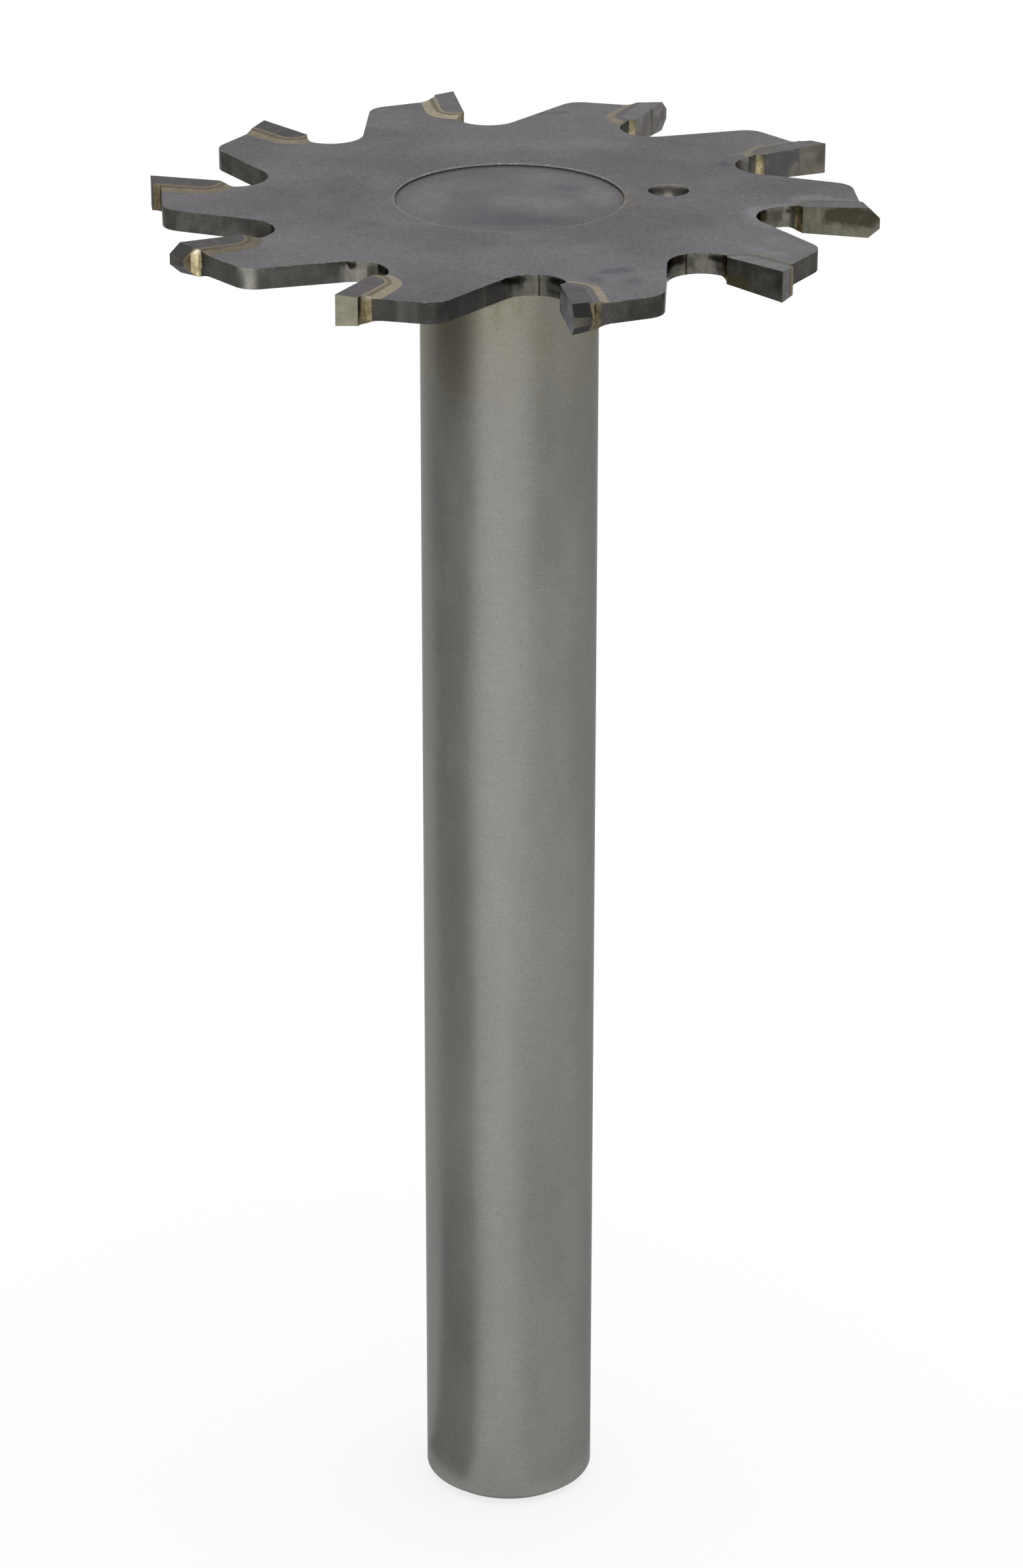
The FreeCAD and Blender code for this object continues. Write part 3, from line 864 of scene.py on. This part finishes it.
@dataclass
class SawPlate:
    """The toothed plate, and the ring of braze that holds it on the head."""

    node: str = "saw_plate"
    ring: str = "hub_braze_ring"
    edge_width: float = 0.03 * MM

    def build(self) -> list[bpy.types.Object]:
        """Dresses the CAD solids of the plate and its ring.

        Returns:
            The two pieces.
        """
        plate = frame["nodes"][self.node]
        wear(plate, self.edge_width)
        dress(plate, PlateSteel().material())
        ring = frame["nodes"][self.ring]
        dress(ring, Braze("hub_braze", ground=(0.16, 0.14, 0.10)).material())
        return [plate, ring]


@dataclass
class Tooth:
    """One carbide tip with its braze."""

    number: int
    edge_width: float = 0.018 * MM

    @property
    def form(self) -> TipForm:
        """The way in which this tooth's tip is ground."""
        return TipForm.SQUARE if self.number % 2 else TipForm.TRAPEZOID

    @property
    def angle(self) -> float:
        """The angle of the tooth's cutting face about the axis, in degrees."""
        return FIRST_TOOTH_ANGLE + 360.0 / TOOTH_COUNT * (self.number - 1)

    def build(self) -> list[bpy.types.Object]:
        """Dresses the tip and its braze.

        Returns:
            The two pieces.
        """
        tip = frame["nodes"][f"carbide_tip_{self.number:02d}"]
        wear(tip, self.edge_width)
        dress(tip, Carbide(self.number, self.angle, **TIP_LOOKS[self.number]).material())
        braze = frame["nodes"][f"tip_braze_{self.number:02d}"]
        dress(braze, Braze(f"braze_{self.number:02d}", self.angle, **BRAZE_LOOKS[self.number]).material())
        return [tip, braze]


@dataclass(frozen=True)
class Card:
    """Grey card on the floor beside the object, which shows only in its reflections.

    The azimuths of its sides are in degrees to the right of the camera's, its near and far ends are in metres
    from the axis, and a level of 1 is white.
    """

    name: str
    start: float
    stop: float
    near: float
    far: float
    level: float
    height: float = 0.5 * MM
    steps: int = 6

    def build(self) -> None:
        """Lays the card."""
        turns = [math.radians(self.start + (self.stop - self.start) * step / self.steps)
                 for step in range(self.steps + 1)]
        corners = [(self.near * math.sin(a), -self.near * math.cos(a), self.height) for a in turns]
        corners += [(self.far * math.sin(a), -self.far * math.cos(a), self.height) for a in reversed(turns)]
        data = bpy.data.meshes.new(self.name)
        data.from_pydata(corners, [], [tuple(range(len(corners)))])
        card = bpy.data.objects.new(self.name, data)
        bpy.context.scene.collection.objects.link(card)
        material = bpy.data.materials.new(self.name)
        material.use_nodes = True
        tree = material.node_tree
        tree.nodes.remove(tree.nodes["Principled BSDF"])
        glow = tree.nodes.new("ShaderNodeEmission")
        glow.inputs["Strength"].default_value = self.level
        tree.links.new(glow.outputs[0], tree.nodes["Material Output"].inputs["Surface"])
        data.materials.append(material)
        for ray in ("visible_camera", "visible_diffuse", "visible_shadow", "visible_transmission"):
            setattr(card, ray, False)


@dataclass
class Studio:
    """Pale floor, white surroundings, one soft lamp, grey cards and the camera."""

    floor_size: float = 4.0
    floor_colour: Colour = (0.86, 0.86, 0.86)
    shown_white: float = 0.78
    surround: float = 0.75
    lamp_place: tuple[float, float, float] = (0.1, 0.1, 1.0)
    lamp_size: float = 0.9
    lamp_power: float = 6.0
    camera_place: tuple[float, float, float] = (-0.001041, -0.346183, 0.209410)
    camera_yaw: float = 0.201
    camera_pitch: float = 23.65
    camera_roll: float = 0.042
    lens: float = 117.8
    sensor_width: float = 36.0
    clip: tuple[float, float] = (0.01, 20.0)
    cards: tuple[Card, ...] = (
        Card("left_foot", -100.0, -38.0, 0.008, 0.05, 0.42),
        Card("left_low", -108.0, -46.0, 0.05, 0.10, 0.45),
        Card("left_near", -114.0, -52.0, 0.10, 0.19, 0.52),
        Card("left_far", -120.0, -46.0, 0.19, 0.222, 0.03),
        Card("left_wall", -134.0, -44.0, 0.222, 1.5, 0.50),
        Card("right_foot", 16.0, 165.0, 0.008, 0.05, 0.75),
        Card("right_low", 14.0, 165.0, 0.05, 0.11, 0.82),
        Card("right_front", 45.0, 85.0, 0.11, 0.222, 0.90),
        Card("right_back", 85.0, 165.0, 0.11, 0.222, 0.78),
        Card("right_gap", 27.0, 50.0, 0.222, 1.5, 0.50),
        Card("right_wall", 50.0, 150.0, 0.222, 1.5, 0.62),
        Card("front_glow", -44.0, 4.0, 0.05, 0.222, 1.18),
        Card("front_wall", -40.0, 27.0, 0.222, 0.60, 1.25),
    )

    def world(self) -> None:
        """Makes the world: white where it is seen or mirrored, a little softer as a light."""
        world = bpy.data.worlds.new("studio")
        bpy.context.scene.world = world
        world.use_nodes = True
        tree = world.node_tree
        shell = tree.nodes["Background"]
        rays = tree.nodes.new("ShaderNodeLightPath")
        seen = self.any_of(tree, rays)
        level = tree.nodes.new("ShaderNodeMapRange")
        tree.links.new(seen, level.inputs[0])
        level.inputs["To Min"].default_value = self.surround
        level.inputs["To Max"].default_value = 1.0
        tree.links.new(level.outputs[0], shell.inputs["Strength"])
        shell.inputs["Color"].default_value = (1.0, 1.0, 1.0, 1.0)

    @staticmethod
    def any_of(tree: bpy.types.NodeTree, rays: bpy.types.Node) -> Socket:
        """Joins the camera, glossy and transmission rays.

        Args:
            tree: the node tree.
            rays: its Light Path node.

        Returns:
            1 for a ray of any of the three kinds, else 0.
        """
        first = tree.nodes.new("ShaderNodeMath")
        first.operation = "MAXIMUM"
        tree.links.new(rays.outputs["Is Camera Ray"], first.inputs[0])
        tree.links.new(rays.outputs["Is Glossy Ray"], first.inputs[1])
        second = tree.nodes.new("ShaderNodeMath")
        second.operation = "MAXIMUM"
        tree.links.new(first.outputs[0], second.inputs[0])
        tree.links.new(rays.outputs["Is Transmission Ray"], second.inputs[1])
        return second.outputs[0]

    def floor(self) -> None:
        """Lays the pale floor, which shows nearly white and keeps the object's shadow."""
        data = bpy.data.meshes.new("floor")
        half = self.floor_size / 2
        corners = [(-half, -half, 0), (half, -half, 0), (half, half, 0), (-half, half, 0)]
        data.from_pydata(corners, [], [(0, 1, 2, 3)])
        floor = bpy.data.objects.new("floor", data)
        bpy.context.scene.collection.objects.link(floor)
        material = bpy.data.materials.new("pale_floor")
        material.use_nodes = True
        tree = material.node_tree
        tree.nodes.remove(tree.nodes["Principled BSDF"])
        diffuse = tree.nodes.new("ShaderNodeBsdfDiffuse")
        diffuse.inputs["Color"].default_value = (*self.floor_colour, 1.0)
        glow = tree.nodes.new("ShaderNodeEmission")
        mix = tree.nodes.new("ShaderNodeMixShader")
        rays = tree.nodes.new("ShaderNodeLightPath")
        share = tree.nodes.new("ShaderNodeMath")
        share.operation = "MULTIPLY"
        tree.links.new(self.any_of(tree, rays), share.inputs[0])
        share.inputs[1].default_value = self.shown_white
        tree.links.new(share.outputs[0], mix.inputs[0])
        tree.links.new(diffuse.outputs[0], mix.inputs[1])
        tree.links.new(glow.outputs[0], mix.inputs[2])
        tree.links.new(mix.outputs[0], tree.nodes["Material Output"].inputs["Surface"])
        data.materials.append(material)

    def lamp(self) -> None:
        """Hangs the one soft lamp over the object, where neither the camera nor the steel sees it."""
        data = bpy.data.lights.new("overhead", "AREA")
        data.shape = "RECTANGLE"
        data.size = data.size_y = self.lamp_size
        data.energy = self.lamp_power
        lamp = bpy.data.objects.new("overhead", data)
        lamp.location = self.lamp_place
        lamp.rotation_euler = (-Vector(self.lamp_place)).to_track_quat("-Z", "Y").to_euler()
        lamp.visible_camera = lamp.visible_glossy = False
        bpy.context.scene.collection.objects.link(lamp)

    def camera(self) -> None:
        """Places the camera at the photograph's viewpoint."""
        data = bpy.data.cameras.new("camera")
        data.lens = self.lens
        data.sensor_width = self.sensor_width
        data.clip_start, data.clip_end = self.clip
        camera = bpy.data.objects.new("camera", data)
        turn = (Matrix.Rotation(-math.radians(self.camera_yaw), 4, "Z")
                @ Matrix.Rotation(math.radians(90.0 - self.camera_pitch), 4, "X")
                @ Matrix.Rotation(math.radians(self.camera_roll), 4, "Z"))
        camera.matrix_world = Matrix.Translation(self.camera_place) @ turn
        bpy.context.scene.collection.objects.link(camera)
        bpy.context.scene.camera = camera

    def build(self) -> None:
        """Sets up everything round the object."""
        bpy.context.scene.view_settings.view_transform = "Standard"
        self.world()
        self.floor()
        self.camera()
        self.lamp()
        for card in self.cards:
            card.build()


# Looks of each tip; a corner colour is painted shade on the chamfers.
TIP_LOOKS: dict[int, dict[str, object]] = {
    1: {"side": (0.156, 0.153, 0.147), "rake": (0.190, 0.174, 0.146), "stain": (0.101, 0.102, 0.113),
        "stain_share": 0.8, "stain_place": (21.7, 0.1), "stain_size": (1.25, 4.0), "lined": 0.5},
    2: {"side": (0.200, 0.194, 0.200), "rake": (0.270, 0.257, 0.250), "mottle": 0.15, "lined": 0.5},
    3: {"side": (0.168, 0.160, 0.165)},
    4: {"side": (0.103, 0.095, 0.098)},
    5: {"side": (0.115, 0.106, 0.109), "end": (0.170, 0.150, 0.105)},
    6: {"side": (0.106, 0.099, 0.102), "end": (0.132, 0.124, 0.112), "corner": (0.066, 0.062, 0.062),
        "braze_run": 0.16 * MM},
    7: {"side": (0.132, 0.121, 0.124), "end": (0.230, 0.215, 0.160), "mottle": 0.2, "braze_run": 0.03 * MM},
    8: {"side": (0.114, 0.109, 0.118), "rake": (0.218, 0.216, 0.254), "end": (0.104, 0.094, 0.079),
        "corner": (0.030, 0.030, 0.031), "braze_run": 0.25 * MM, "run": (0.200, 0.165, 0.110)},
    9: {"side": (0.205, 0.208, 0.210), "rake": (0.088, 0.086, 0.075), "end": (0.200, 0.192, 0.200),
        "stain": (0.088, 0.078, 0.040), "stain_share": 0.85, "stain_place": (21.6, -0.8),
        "stain_size": (0.9, 0.6), "mottle": 0.4, "braze_run": 0.45 * MM, "run": (0.300, 0.250, 0.180)},
    10: {"side": (0.155, 0.152, 0.158), "rake": (0.138, 0.134, 0.102), "stain": (0.040, 0.038, 0.024),
         "stain_share": 0.9, "stain_place": (24.2, 0.5), "stain_size": (1.8, 0.8), "mottle": 0.2},
}
# Looks of each tooth's braze; its levels are painted light and shade.
BRAZE_LOOKS: dict[int, dict[str, float]] = {
    1: {"tan_share": 0.8, "tan_from": 0.55 * MM, "flat_light_level": 1.2, "upright_light_level": 1.5,
        "bead_reach": 0.47 * MM},
    2: {"tan_share": 0.9, "tan_from": 0.55 * MM, "flat_light_level": 1.2, "upright_light_level": 1.8,
        "bead_reach": 0.36 * MM},
    3: {"flat_light_level": 1.6},
    4: {"flat_light_level": 1.05},
    5: {"flat_light_level": 0.92},
    6: {"flat_light_level": 0.76, "upright_light_level": 1.9, "bead_reach": 0.44 * MM, "crown_highlight_share": 0.9},
    7: {"flat_light_level": 1.40, "upright_light_level": 0.80, "crown_highlight_share": 0.6},
    8: {"tan_share": 0.9, "tan_from": 0.55 * MM, "flat_light_level": 1.5, "upright_light_level": 0.62},
    9: {"tan_share": 0.8, "tan_from": 0.50 * MM, "upright_light_level": 0.6},
    10: {"tan_share": 0.7, "tan_from": 0.60 * MM, "upright_light_level": 1.0, "bead_reach": 0.62 * MM},
}


def main() -> None:
    """Builds every piece, dresses it and reports it."""
    logging.basicConfig(level=logging.INFO, format="%(message)s")
    Studio().build()
    shank = Shank().build()
    dress(shank, ShankSteel().material(PlateSteel()))
    pieces = [shank, *SawPlate().build()]
    for number in range(1, TOOTH_COUNT + 1):
        tooth = Tooth(number)
        pieces += tooth.build()
        LOG.info("tooth %02d is %s, at %.1f degrees", number, tooth.form.value, tooth.angle)
    for piece in pieces:
        LOG.info("%s: %d faces", piece.name, len(piece.data.polygons))


if __name__ == "__main__":
    main()
